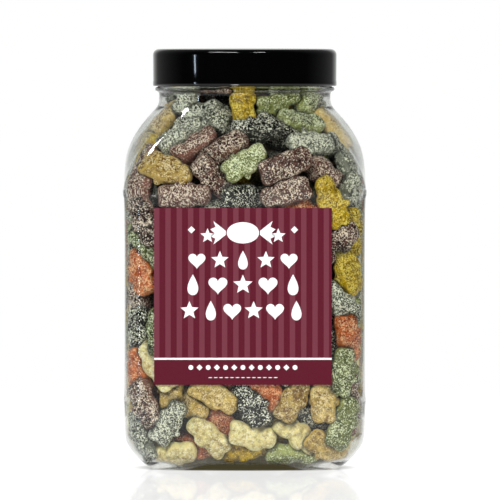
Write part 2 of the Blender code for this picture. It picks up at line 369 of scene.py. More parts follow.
def black_plastic(tree, point):
    smears = noise(tree, point, scale=70.0, detail=3.0, roughness=0.6)
    inputs = {
        "Base Color": noise(tree, point, scale=30.0).between(DEEP_BLACK, WORN_BLACK),
        "Roughness": 0.05 + smears * 0.05,
        "Specular IOR Level": 0.4,
        "Normal": bump(tree, smears, strength=0.03, distance=0.0004),
    }
    return principled(tree, inputs)


# %% The lid's profile, turned
LID_RADIUS = 0.04585
LID_BOTTOM_Z = 0.1903
LID_TOP_Z = 0.2092
LID_WALL = 0.0013
LID_ROUND = 0.0030
LID_CROWN = 0.0004  # how far the top rises from its edge to its middle
LID_POINTS = 160
# down from the roof's underside, and the share of the inside radius there
LID_ROOF = ((0.0, 0.93), (0.0006, 0.985), (0.0016, 1.0))
# up from the bottom, and in from the outside radius: the lip, then a fine step above it
LID_LIP = (
    (0.0003, LID_WALL), (0.0, LID_WALL - 0.0004), (0.0, 0.0004), (0.0004, 0.0),
    (0.0022, 0.0), (0.0026, 0.00012),
)
EDGE_STEPS = 9
TOP_SHARES = (0.85, 0.6, 0.3)


def circle_ring(z, radius, count):
    turn = np.arange(count) * 2 * pi / count
    return np.stack([radius * np.cos(turn), radius * np.sin(turn), np.full(count, z)], axis=1)


def lid_skin():
    inside = LID_RADIUS - LID_WALL
    edge_z = LID_TOP_Z - LID_CROWN
    levels = [(edge_z - LID_WALL - down, inside * share) for down, share in LID_ROOF]
    levels += [(LID_BOTTOM_Z + up, LID_RADIUS - inwards) for up, inwards in LID_LIP]
    for turn in np.radians(np.linspace(0, 90, EDGE_STEPS)):
        radius = LID_RADIUS - LID_ROUND * (1 - cos(turn))
        levels.append((edge_z - LID_ROUND * (1 - sin(turn)), radius))
    levels += [(LID_TOP_Z - LID_CROWN * share**2, LID_RADIUS * share) for share in TOP_SHARES]
    return skin([circle_ring(z, radius, LID_POINTS) for z, radius in levels])


lid = mesh_object("screw_lid", *lid_skin(), new_finish("black_gloss_plastic", black_plastic))
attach(lid, "root")
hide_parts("lid")
print("lid:", len(lid.data.polygons), "faces")

# %% [markdown]
# ## The label
#
# The label is a flat printed sheet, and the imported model's own sheet is right, so it only gets
# a finish: two tones of maroon in upright stripes, a plain band at the foot and a white rule.
# Stripes are a sum: the distance along the label, divided by the stripe's pitch, leaves a
# rest above or below about one half. The white figures come as thin shapes in the next step.

# %% Stripes, band and rule
label_low, label_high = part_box("label")
STRIPE_PITCH = 0.00560
LIGHT_SHARE = 0.47  # of each pitch
STRIPE_EDGE = 14  # how sharply one tone turns into the other
BAND_HEIGHT = 0.0124
RULE_HEIGHT = 0.0010
MAROON = linear(86, 6, 30)
LIGHT_MAROON = linear(112, 50, 63)
PRINT_WHITE = linear(252, 250, 248)
PAPER_FIBRE = linear(150, 90, 105)


def striped_paper(tree, point):
    across = Wire.node(tree, "SeparateXYZ", inputs={0: point})
    up = across.other("Z")
    phase = (across - label_low.x) * (1 / STRIPE_PITCH) % 1.0
    light_stripe = 1 - ((phase - LIGHT_SHARE) * STRIPE_EDGE + 0.5).clamped()
    rule_z = label_low.z + BAND_HEIGHT
    above_rule = up > rule_z + RULE_HEIGHT
    in_rule = (up > rule_z) * (1 - above_rule)
    paper = noise(tree, point, scale=2500.0)
    colour = (light_stripe * above_rule).between(MAROON, LIGHT_MAROON)
    colour = in_rule.between(colour, PRINT_WHITE)
    inputs = {
        "Base Color": (paper * 0.10).between(colour, PAPER_FIBRE),
        "Roughness": 0.55 + paper * 0.1,
        "Specular IOR Level": 0.12,
        "Normal": bump(tree, paper, strength=0.06, distance=0.0001),
    }
    return principled(tree, inputs)


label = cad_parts["label"]
label.data.materials.clear()
label.data.materials.append(new_finish("striped_label", striped_paper))
print("label:", [round(v * 1000, 1) for v in label_high - label_low], "mm")

# %% [markdown]
# ## White figures on the label
#
# A label like this is printed in white on its stripes. Here plain sweetshop figures fill it:
# a wrapped sweet, stars, hearts, drops and dots in rows. Each outline is a short formula, and
# thickening it by a few hundredths of a millimetre makes a thin shape that lies on the paper.

# %% Outlines of the figures, about one unit wide
TIP = 0.5  # how far a tip is from the middle


def turns(count):
    return [2 * pi * i / count for i in range(count)]


def star(points=5, inner=0.45):
    outline = []
    for i in range(points * 2):
        turn = pi / 2 + pi * i / points
        radius = TIP * inner if i % 2 else TIP
        outline.append((cos(turn) * radius, sin(turn) * radius))
    return outline


def heart():
    """The well-known heart curve, which is 34 units across, made one unit wide."""
    outline = []
    for t in turns(40):
        x = 16 * sin(t) ** 3
        y = 13 * cos(t) - 5 * cos(2 * t) - 2 * cos(3 * t) - cos(4 * t)
        outline.append((x / 34, y / 34))
    return outline


def oval(width=1.0, height=1.0):
    return [(width / 2 * cos(t), height / 2 * sin(t)) for t in turns(36)]


def twist(side):
    """The fan of wrapper at one end of a wrapped sweet."""
    fan = [(0.50, 0.06), (0.86, 0.34), (0.80, 0.17), (0.95, 0.10), (0.84, 0.0)]
    fan += [(x, -y) for x, y in reversed(fan[:-1])]
    return [(side * x, y) for x, y in fan]


def diamond():
    return [(TIP, 0.0), (0.0, TIP), (-TIP, 0.0), (0.0, -TIP)]


def drop():
    return [(0.36 * sin(t) * sin(t / 2) ** 1.2, 0.52 * cos(t)) for t in turns(36)]


# %% Laying the figures out, in millimetres from the label's middle
WRAPPED_BITS = (oval(0.94, 0.62), twist(1), twist(-1))
# height, size and pitch of a row, then its figures
FIGURE_ROWS = (
    (18.0, 9.0, 11.4, (heart, star, drop, star, heart)),
    (5.8, 10.0, 12.4, (drop, heart, star, heart, drop)),
    (-7.0, 9.4, 10.6, (star, drop, heart, star, heart, drop)),
)
# height and pitch of the row of dots and diamonds and of the row of dashes below it
DOTS_Z, DOTS_PITCH = -35.2, 4.3
DASHES_Z, DASHES_PITCH = -40.2, 2.7


def figure_rows():
    """Each figure as (outlines, middle x, middle z, size)."""
    placed = [(WRAPPED_BITS, 0.0, 31.5, 17.0)]
    placed += [([star()], side * 17.5, 30.0, 7.5) for side in (-1, 1)]
    placed += [([diamond()], side * 25.5, 33.0, 3.6) for side in (-1, 1)]
    for z, size, pitch, shapes in FIGURE_ROWS:
        for i, shape in enumerate(shapes):
            x = (i - (len(shapes) - 1) / 2) * pitch
            placed.append(([shape()], x, z, size))
    for i in range(-6, 7):
        dot, size = (diamond(), 3.0) if i % 2 else (oval(), 2.4)
        placed.append(([dot], i * DOTS_PITCH, DOTS_Z, size))
        placed.append(([oval(1.0, 0.22)], i * DASHES_PITCH, DASHES_Z, 1.9))
    return placed


# %% White shapes on the paper
PRINT_THICK = 0.00006


def label_figures():
    middle = (label_low + label_high) / 2
    mesh = bmesh.new()
    for outlines, x, z, size in figure_rows():
        for outline in outlines:
            corners = [
                (middle.x + (x + px * size) / 1000, label_low.y, middle.z + (z + pz * size) / 1000)
                for px, pz in outline
            ]
            face = mesh.faces.new([mesh.verts.new(point) for point in corners])
            pulled = bmesh.ops.extrude_face_region(mesh, geom=[face])
            front = [item for item in pulled["geom"] if isinstance(item, bmesh.types.BMVert)]
            bmesh.ops.translate(mesh, verts=front, vec=Vector((0, -PRINT_THICK, 0)))
    bmesh.ops.recalc_face_normals(mesh, faces=mesh.faces)
    return as_mesh(mesh, "label_figures")


def as_mesh(mesh, name):
    data = bpy.data.meshes.new(name)
    mesh.to_mesh(data)
    mesh.free()
    return data


def white_ink(tree, point):
    worn = noise(tree, point, scale=1800.0)
    colour = worn.between(linear(250, 248, 247), linear(255, 255, 255))
    inputs = {"Base Color": colour, "Roughness": 0.5 + worn * 0.1, "Specular IOR Level": 0.12}
    return principled(tree, inputs)


figures = in_scene("label_figures", label_figures())
figures.data.materials.append(new_finish("white_ink", white_ink))
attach(figures, "root")
print("label figures:", len(figure_rows()))

# %% [markdown]
# ## One jelly baby
#
# A jelly baby is cast in a starch mould, face up: a round head, folded arms, a belly and two
# short legs, all soft, with a flat back where the mould was open. Metaballs could make it,
# but a voxel remesh of joined balls leaves crisper creases between arm and belly. Smoothing
# rounds the creases, and decimating keeps each sweet light enough to have hundreds.

# %% The body as blobs: name, middle, half sizes and squareness, in millimetres, head at +X
BABY_BLOBS = (
    ("head", (8.5, 0.0, 0.1), (5.2, 5.9, 4.9), 2.5),
    ("nose", (9.0, 0.0, 4.5), (1.3, 1.2, 1.2), 2.0),
    ("cheek", (7.6, 2.2, 3.6), (1.9, 1.8, 1.6), 2.0),
    ("chest", (1.2, 0.0, -0.2), (6.2, 6.6, 4.6), 3.2),
    ("belly", (-3.0, 0.0, 1.1), (4.8, 4.8, 4.5), 2.2),
    ("arm", (1.6, 5.0, 0.5), (3.9, 2.1, 3.5), 2.6),
    ("hand", (0.4, 3.1, 3.9), (1.9, 3.0, 1.5), 2.4),
    ("hips", (-6.2, 0.0, -0.1), (5.8, 6.2, 4.5), 3.0),
    ("leg", (-8.9, 2.8, -0.1), (4.8, 3.6, 4.5), 3.0),
    ("foot", (-11.2, 3.1, 1.5), (2.1, 2.8, 3.0), 2.6),
)
HANGING_HAND = (-3.0, 5.6, 2.6)
PART_SHIFT = 0.25


def baby_blobs(draw):
    """One mould: arms folded or hanging, and each part a little its own."""
    arms = draw.choice(("folded", "folded", "hanging"))
    plump = draw.uniform(0.95, 1.05)
    blobs = []
    for name, centre, radii, power in BABY_BLOBS:
        x, y, z = HANGING_HAND if arms == "hanging" and name == "hand" else centre
        for side in (1, -1) if y else (0,):
            shift = draw.normal(0, PART_SHIFT, 3)
            grow = plump * draw.uniform(0.95, 1.06, 3)
            blobs.append((np.array([x, y * side, z]) + shift, np.array(radii) * grow, power))
    return blobs


def blob_points(mesh, middle, radii, power):
    """Adds a ball, squared up by its power: 2 is round, 4 nearly a brick with round edges."""
    made = bmesh.ops.create_icosphere(mesh, subdivisions=4, radius=1.0)["verts"]
    for vert in made:
        p = np.abs(np.array(vert.co))
        square = float((p**power).sum() ** (-1 / power))
        vert.co = Vector(np.array(vert.co) * square * radii + middle)


# %% Joining the blobs into one soft body, in eight moulds
BACK_Z = -3.9
BACK_KEPT = 0.15  # how much of what stands out past the flat back is kept
VOXEL = 0.58
BABY_FACES = 1700
BABY_KINDS = 8
LUMP_WIDTH, LUMP_HEIGHT = 5.0, 0.30
WAVES, WAVE_TURNS = 5, 2.2


def noise_field(points, draw):
    """Soft unevenness from a few crossing waves, from about -1 to 1."""
    total = np.zeros(len(points))
    for _ in range(WAVES):
        way = draw.normal(0, 1, 3)
        total += np.sin(points @ way * WAVE_TURNS + draw.uniform(0, 6.3))
    return total / (WAVES / 2)


def smoothed(made, rounds):
    rounding = made.modifiers.new("round", "SMOOTH")
    rounding.factor = 0.5
    rounding.iterations = rounds


def baked(made):
    """An object's mesh with its modifiers applied, and its points and triangles."""
    graph = bpy.context.evaluated_depsgraph_get()
    data = bpy.data.meshes.new_from_object(made.evaluated_get(graph))
    data.calc_loop_triangles()
    points = np.zeros(len(data.vertices) * 3, np.float32)
    data.vertices.foreach_get("co", points)
    triangles = np.zeros(len(data.loop_triangles) * 3, np.int32)
    data.loop_triangles.foreach_get("vertices", triangles)
    return data, points.reshape(-1, 3).astype(float), triangles.reshape(-1, 3)


def baby_surface(draw):
    """Joins the blobs, remeshes and smooths them, flattens the back and thins the mesh."""
    mesh = bmesh.new()
    for middle, radii, power in baby_blobs(draw):
        blob_points(mesh, middle, radii, power)
    maker = in_scene("baby", as_mesh(mesh, "baby"))
    remesh = maker.modifiers.new("join", "REMESH")
    remesh.mode = "VOXEL"
    remesh.voxel_size = VOXEL
    smoothed(maker, rounds=4)
    joined, points, _ = baked(maker)
    lumps = noise_field(points / LUMP_WIDTH, draw) * LUMP_HEIGHT
    points += lumps[:, None] * points / length(points)[:, None]
    low = points[:, 2] < BACK_Z
    points[low, 2] = BACK_Z + (points[low, 2] - BACK_Z) * BACK_KEPT
    maker.data = joined
    joined.vertices.foreach_set("co", points.astype(np.float32).ravel())
    maker.modifiers.clear()
    smoothed(maker, rounds=1)
    thin = maker.modifiers.new("thin", "DECIMATE")
    thin.ratio = BABY_FACES / (2 * len(joined.polygons))
    thin.use_collapse_triangulate = True
    _, points, triangles = baked(maker)
    bpy.data.objects.remove(maker)
    return points / 1000, triangles


mould_draw = np.random.default_rng(5)
BABIES = [baby_surface(mould_draw) for _ in range(BABY_KINDS)]
print("jelly baby moulds:", [len(triangles) for _, triangles in BABIES], "triangles")

# %% [markdown]
# ## Dusted jelly
#
# Each colour is a translucent jelly under fine starch, in specks under a millimetre wide,
# thick on some sweets and thin on others. So every point carries its sweet's shade and dust,
# and how deep it lies, how near a neighbour and how far it turns away. The last three paint
# light into the colour: painted shade where a point lies deep or touches a neighbour, and a
# painted highlight on a rim that turns away. A painted picture could hold the specks, but a
# noise stays sharp at any distance.

# %% The colours of the jelly and its dust
# darker and lighter shade, dust, then how strongly the dust covers, how light the jelly is,
# how cloudy it is and how far light sinks in
JELLIES = {
    "black": ((3, 3, 4), (66, 65, 60), (247, 246, 226), 0.95, 0.02, 1.2, 0.0),
    "dusty_black": ((16, 17, 15), (134, 137, 121), (240, 241, 218), 0.95, 0.02, 1.2, 0.0),
    "plum": ((24, 7, 6), (152, 104, 92), (240, 223, 202), 0.95, 0.02, 1.2, 0.0),
    "green": ((42, 52, 13), (176, 183, 108), (242, 248, 208), 0.85, 0.02, 1.2, 0.2),
    "yellow": ((92, 66, 0), (216, 178, 22), (250, 230, 118), 0.72, 0.18, 2.6, 0.3),
    "honey": ((112, 76, 20), (222, 190, 104), (252, 236, 188), 0.68, 0.25, 2.6, 0.3),
    "cream": ((148, 120, 48), (247, 231, 162), (254, 250, 224), 0.65, 0.40, 2.4, 0.3),
    "orange": ((132, 40, 10), (236, 130, 66), (255, 214, 166), 0.68, 0.2, 2.4, 0.25),
}
# painted shade: the colour that a point deep in the heap, or touching a neighbour, is darkened towards
PAINTED_SHADE_COLOUR = (0.004, 0.0035, 0.003)
PAINTED_SHADE_STRENGTH = 0.85  # how dark a point gets that lies deep, or touches a neighbour
# the painted highlight on a rim that turns away from the wall: where it begins and how fast it grows,
# how much dust it clears, and how much lighter it paints the jelly
RIM_START, RIM_SLOPE = 0.30, 2.2
RIM_BARE, RIM_PAINTED_LIGHT = 0.07, 0.6
BARE_LEVEL, DUST_REACH = 0.64, 0.20  # the noise that bears dust on a bare sweet, and its drop
SPECK_EDGE = 42
PATCH_GAIN = 0.35
SHADE_GAIN = 0.40
LIGHT_DEPTH = (1.0, 0.7, 0.35)  # red light sinks in furthest


def jelly(tree, point, kind):
    dark, light, dust_tone, covering, lightness, cloudiness, softness = JELLIES[kind]
    shade, dust, painted_depth_shade, painted_contact_shade, rim = (
        Wire.node(tree, "Attribute", {"attribute_name": name}, output="Fac")
        for name in ("shade", "dust", "painted_depth_shade", "painted_contact_shade", "rim")
    )
    specks = noise(tree, point, scale=1300.0, detail=1.0, roughness=0.4, swirl=1.0)
    patches = noise(tree, point, scale=190.0)
    mottle = noise(tree, point, scale=430.0, roughness=0.6)
    # painted highlight: the jelly is made paler where its surface turns away from the wall
    painted_rim_light = rim.ramp(RIM_START, RIM_SLOPE)
    level = specks + (patches - 0.5) * PATCH_GAIN - painted_rim_light * RIM_BARE
    coat = level.ramp(BARE_LEVEL - dust * DUST_REACH, SPECK_EDGE)
    cloudy = (mottle - 0.5) * cloudiness
    share = shade * SHADE_GAIN + lightness + cloudy + painted_rim_light * RIM_PAINTED_LIGHT
    body = share.clamped().between(linear(*dark), linear(*light))
    colour = (coat * covering).between(body, linear(*dust_tone))
    # painted shade: the jelly darkens where it lies deep or touches a neighbour, standing in for the
    # shade between sweets
    painted_shade = 1 - (1 - painted_depth_shade * PAINTED_SHADE_STRENGTH) * (1 - painted_contact_shade * PAINTED_SHADE_STRENGTH)
    inputs = {
        "Base Color": painted_shade.between(colour, PAINTED_SHADE_COLOUR),
        "Roughness": 0.24 + coat * 0.5,
        "Normal": bump(tree, specks * 0.6 + mottle * 0.5, strength=0.8, distance=0.0006),
        "Subsurface Weight": softness,
        "Subsurface Radius": LIGHT_DEPTH,
        "Subsurface Scale": 0.0015,
        "Sheen Weight": 0.08,
        "Sheen Roughness": 0.4,
        "IOR": 1.42,
    }
    return principled(tree, inputs)


# %% [markdown]
# ## Where each sweet lies
#
# The sweets that show at the front are named one by one: colour, place, direction of the head
# and which side is to the wall. The rest are drawn at random, seeded, so that the jar comes
# out the same each time. Their places are rough, so the next step pushes them apart.

# %% The sweets at the front wall
# colour, across and down in pixels of a 500 pixel picture, head's direction in degrees,
# side to the wall, depth behind the wall in millimetres
FRONT_TABLE = """
plum 197 148 46 side 0; plum 223 150 35 face 5; plum 214 177 -40 face 0; plum 184 195 4 face 0;
plum 139 187 112 face 0; honey 167 170 -25 back 1; yellow 143 158 -50 face 0; honey 158 131 55 face 0;
honey 167 118 35 back 0; cream 149 141 60 side 0; dusty_black 181 136 48 face 0;
dusty_black 200 120 20 face 4; dusty_black 203 106 -10 face 4; dusty_black 188 93 60 face 3;
dusty_black 170 97 88 face 0; dusty_black 226 125 -40 face 2; green 245 163 35 back 0;
black 245 196 0 face 3; dusty_black 228 205 30 face 5; yellow 243 103 92 back 0;
black 256 131 8 side 0; black 277 135 -42 side 1; green 296 117 30 face 2; green 277 101 15 face 3;
yellow 299 95 70 face 6; plum 315 110 75 face 2; dusty_black 320 99 92 face 0;
honey 334 129 128 back 0; dusty_black 310 145 30 face 1; dusty_black 341 155 20 face 0;
plum 285 166 25 back 0; plum 286 192 194 back 0; plum 321 171 135 face 2; yellow 331 202 112 face 0;
dusty_black 350 199 -60 face 1; dusty_black 351 174 85 face 1; orange 303 210 0 face 2;
green 290 140 10 face 8; plum 144 221 -60 face 0; black 134 229 85 face 2; green 151 248 -50 back 0;
orange 142 271 115 face 0; plum 139 296 75 face 1; black 139 334 86 face 0; green 159 332 90 back 0;
orange 139 371 80 face 0; cream 158 366 118 back 0; plum 145 405 -52 face 0; yellow 354 230 88 face 1;
plum 338 244 40 back 0; yellow 347 268 130 back 0; plum 356 292 70 face 3;
dusty_black 341 304 -38 face 0; orange 348 339 -66 face 0; black 331 347 80 face 2;
green 341 372 70 face 1; green 356 376 85 face 2; honey 171 386 90 back 0; honey 187 405 -25 face 1;
honey 214 395 -28 back 0; orange 238 386 -50 back 1; black 252 405 122 face 0; green 231 413 10 face 6;
orange 220 424 -38 face 5; orange 267 391 -55 back 0; honey 293 401 60 back 0; honey 324 396 88 back 0;
plum 352 399 -60 face 2; green 343 423 62 back 0; black 264 416 10 face 5; yellow 281 425 -30 face 2;
cream 298 434 -38 face 0; black 313 423 -30 face 5; honey 327 447 -52 face 0; green 292 456 -5 face 0;
yellow 247 458 5 face 2; dusty_black 138 436 -60 face 0; dusty_black 168 422 60 face 0;
dusty_black 148 452 45 face 1; cream 173 454 36 face 0; cream 208 436 138 face 0;
orange 199 460 0 face 3; cream 253 437 -10 face 0; yellow 229 459 8 face 3
"""
FRONT_SWEETS = [entry.split() for entry in FRONT_TABLE.split(";")]
print("sweets placed one by one:", len(FRONT_SWEETS))

# %% How far a point is from the inside of the wall
INNER_Z = np.array([z for z, _ in INNER_PROFILE])
INNER_HALF = np.array([half for _, half in INNER_PROFILE])
FLOOR_HALF = np.array([half for half, _ in PUSH_UP_PROFILE])
FLOOR_Z = np.array([z for _, z in PUSH_UP_PROFILE]) + BASE_WALL
FLOOR_ARCH = 0.8  # the floor follows the arch of the base by this share
SLOPE_STEP = 0.0005
PROBE = 0.0004


def inner_half(z):
    return np.interp(z, INNER_Z, INNER_HALF)


def wall_room(points):
    """Distance from each point to the wall, in metres, above 0 inside the jar."""
    x, y, z = np.abs(points[..., 0]), np.abs(points[..., 1]), points[..., 2]
    half = inner_half(z)
    corner = CORNER_SHARE * half
    straight = half - corner
    over = np.hypot(np.maximum(x - straight, 0), np.maximum(y - straight, 0))
    square = corner - over - np.minimum(np.maximum(x - straight, y - straight), 0)
    blend = roundness(z)
    level = square * (1 - blend) + (half - np.hypot(x, y)) * blend
    above = inner_half(z + SLOPE_STEP)
    below = inner_half(z - SLOPE_STEP)
    return level / np.hypot(1, (above - below) / (2 * SLOPE_STEP))


def floor_room(points):
    """Height of each point over the jar's floor."""
    half = np.maximum(np.abs(points[..., 0]), np.abs(points[..., 1]))
    lift = arch(points[..., 0], points[..., 1]) * FLOOR_ARCH
    return points[..., 2] - np.interp(half, FLOOR_HALF, FLOOR_Z) - lift


def outward(room, points):
    """The direction in which the room shrinks fastest: towards the wall or the floor."""
    slopes = [room(points + side) - room(points - side) for side in np.eye(3) * PROBE]
    way = -np.stack(slopes, axis=-1)
    return way / np.maximum(np.linalg.norm(way, axis=-1, keepdims=True), 1e-9)


def wall_point(x, z):
    """The point of the front wall's inside that is seen at (x, z), found by halving."""
    low, high = -0.065, 0.0
    for _ in range(40):
        middle = (low + high) / 2
        if wall_room(np.array([x, middle, z])) > 0:
            high = middle
        else:
            low = middle
    return np.array([x, high, z])


# %% Turning a sweet so that its face, back or side is to the wall
BABY_THICK = 0.0060
BACK_THICK = 0.0052
SIDE_THICK = 0.0078


def lie_at_wall(start, head_way, side_to_wall, depth):
    """(middle, turn) of a sweet at a point of the wall, its head along head_way."""
    out = outward(wall_room, start)
    along = np.array(head_way) - out * np.dot(head_way, out)
    along /= np.linalg.norm(along)
    face_way, thick = {
        "face": (out, BABY_THICK),
        "back": (-out, BACK_THICK),
        "side": (np.cross(out, along), SIDE_THICK),
    }[side_to_wall]
    turn = np.stack([along, np.cross(face_way, along), face_way], axis=1)
    return start - out * (thick + depth), turn


def sweet(kind, middle, turn, size, layer, hold=0.0):
    return dict(kind=kind, middle=middle, turn=turn, size=size, layer=layer, hold=hold)


# %% From the picture to the wall
PIXEL = 0.0004957
AXIS_PIXEL = 244.75
GROUND_PIXEL = 470.5
HOLD = 0.65  # how firmly a sweet that was placed one by one keeps its place
LOOSER = 0.2  # for each millimetre that it lies deeper
FRONT_SIZES = (0.94, 1.02)
SIDE_MARGIN = 0.0012


def front_sweets(draw):
    """On the sloping shoulder a sweet lies lower and further in than its point of the wall,
    so the point is moved until the sweet's middle is seen at its pixel."""
    placed = []
    for kind, *numbers, side_to_wall, behind in FRONT_SWEETS:
        across, down, degrees, depth = (float(v) for v in (*numbers, behind))
        seen = np.array([(across - AXIS_PIXEL) * PIXEL, 0.0, (GROUND_PIXEL - down) * PIXEL])
        head_way = (cos(radians(degrees)), 0.0, sin(radians(degrees)))
        aim = seen.copy()
        for _ in range(5):
            limit = inner_half(aim[2]) - SIDE_MARGIN
            start = wall_point(np.clip(aim[0], -limit, limit), aim[2])
            middle, turn = lie_at_wall(start, head_way, side_to_wall, depth / 1000)
            aim += (seen - middle) * (1, 0, 1)
        hold = HOLD / (1 + depth * LOOSER)
        placed.append(sweet(kind, middle, turn, draw.uniform(*FRONT_SIZES), "front", hold))
    return placed


# %% Random colours, turns and places
# how often each colour comes at the foot of the jar, and near its top
MIX = {
    "cream": (5, 0.5), "honey": (4, 1.2), "yellow": (4, 1.6), "green": (3, 2.6),
    "orange": (3, 1), "plum": (2, 4), "black": (1, 1.8), "dusty_black": (1, 2.7),
}
MIX_TOP_Z = 0.17
WALL_SPACING = 0.0158
INNER_SPACING = 0.0172 * 0.86
INNER_ROOM = (0.0050, 0.0240)  # how far from the wall or the floor the second layer lies
RANDOM_SIZES = (0.90, 1.02)
WALL_Z = (0.006, 0.198)
JUST_INSIDE = 0.999
CORNER_REACH = 1.7  # the square of the reach at a corner
SIDES = {"face": 0.5, "back": 0.32, "side": 0.18}  # how often each is to the wall
INNER_BOX = ((-0.05, -0.05, 0.006), (0.05, 0.05, 0.196))
TRIES = 9000


def any_kind(draw, z):
    share = min(max(z / MIX_TOP_Z, 0), 1)
    weights = np.array([low * (1 - share) + high * share for low, high in MIX.values()])
    return draw.choice(list(MIX), p=weights / weights.sum())


def any_turn(draw):
    """A random turn, every direction as likely."""
    quaternion = draw.normal(0, 1, 4)
    w, x, y, z = quaternion / np.linalg.norm(quaternion)
    return np.array(
        [
            [1 - 2 * (y * y + z * z), 2 * (x * y - w * z), 2 * (x * z + w * y)],
            [2 * (x * y + w * z), 1 - 2 * (x * x + z * z), 2 * (y * z - w * x)],
            [2 * (x * z - w * y), 2 * (y * z + w * x), 1 - 2 * (x * x + y * y)],
        ]
    )


def crowded(point, placed, spacing):
    taken = np.array([one["middle"] for one in placed])
    return length(taken - point).min() < spacing


def wall_sweets(draw, placed):
    """Sweets against the wall wherever none is near yet."""
    for _ in range(TRIES):
        angle, z = draw.uniform(0, 2 * pi), draw.uniform(*WALL_Z)
        ray = np.array([cos(angle), sin(angle), 0.0])
        reach = square_reach(angle) * (1 - roundness(z)) + roundness(z)
        start = ray * inner_half(z) * reach * JUST_INSIDE + np.array([0, 0, z])
        if draw.uniform() > reach**2 / CORNER_REACH:  # far corners get their fair share
            continue
        side_to_wall = draw.choice(list(SIDES), p=list(SIDES.values()))
        middle, turn = lie_at_wall(start, draw.normal(0, 1, 3), side_to_wall, 0.0)
        if crowded(middle, placed, WALL_SPACING):
            continue
        kind = any_kind(draw, z)
        placed.append(sweet(kind, middle, turn, draw.uniform(*RANDOM_SIZES), "wall"))


def inner_sweets(draw, placed):
    """A second layer behind the first, turned any way, and the same over the floor."""
    for _ in range(TRIES):
        point = draw.uniform(*INNER_BOX)
        room = min(wall_room(point), floor_room(point))
        if not INNER_ROOM[0] < room < INNER_ROOM[1] or crowded(point, placed, INNER_SPACING):
            continue
        kind, turn = any_kind(draw, point[2]), any_turn(draw)
        placed.append(sweet(kind, point, turn, draw.uniform(*RANDOM_SIZES), "inner"))


place_draw = np.random.default_rng(21)
sweets = front_sweets(place_draw)
wall_sweets(place_draw, sweets)
at_wall = len(sweets)
inner_sweets(place_draw, sweets)
print("sweets at the wall:", at_wall, "behind them:", len(sweets) - at_wall)

# %% [markdown]
# ## Settling the heap
#
# Real sweets are poured and shaken until they rest on each other. A full simulation of nearly
# four hundred soft bodies is slow, so each sweet becomes seven balls that move together. Balls
# that overlap push each other apart, the wall pushes back, and the sweets at the wall are
# pulled gently out to it. Three hundred rounds of that leave them wedged like the real ones.

# %% Seven balls for each sweet, in metres
BALL_PLACES = np.array(
    [(8.9, 0, 0.2), (2.8, 2.1, 0.1), (2.8, -2.1, 0.1), (-3.4, 2.1, 0.1), (-3.4, -2.1, 0.1),
     (-9.2, 2.4, 0.0), (-9.2, -2.4, 0.0)]
) / 1000
BALL_RADII = np.array([5.1, 4.7, 4.7, 4.7, 4.7, 4.4, 4.4]) / 1000
BLOCK = 400  # balls compared at once, so that the table of distances stays small
NEAR_MARGIN = 0.003


def near_pairs(points, radii, owners):
    """Pairs of balls of different sweets that touch or nearly do."""
    first, second = [], []
    for start in range(0, len(points), BLOCK):
        block = slice(start, start + BLOCK)
        gaps = length(points[block, None] - points[None])
        close = gaps < radii[block, None] + radii[None] + NEAR_MARGIN
        close &= owners[block, None] < owners[None]
        a, b = np.nonzero(close)
        first.append(a + start)
        second.append(b)
    return np.concatenate(first), np.concatenate(second)


# %% Pushing overlapping sweets apart, inside the jar
ROUNDS = 300
NEIGHBOUR_ROUNDS = 6  # the list of neighbours is made afresh every six rounds
PULL = 0.00025
CLEAR = 0.0008
PRESS = 0.0003  # how deep a soft sweet may press against the wall before it is flattened
SINK = 0.0009  # the same at the jar's foot, where the weight of all the others is on it
HEEL_Z = 0.0160
LID_CLEAR_Z = 0.2030
HOLD_WAYS = np.array([1.0, 0.15, 1.0])  # a held sweet gives way in depth the soonest
HELD_STIFF = 0.9  # how little a held sweet is pushed aside, beside a loose one


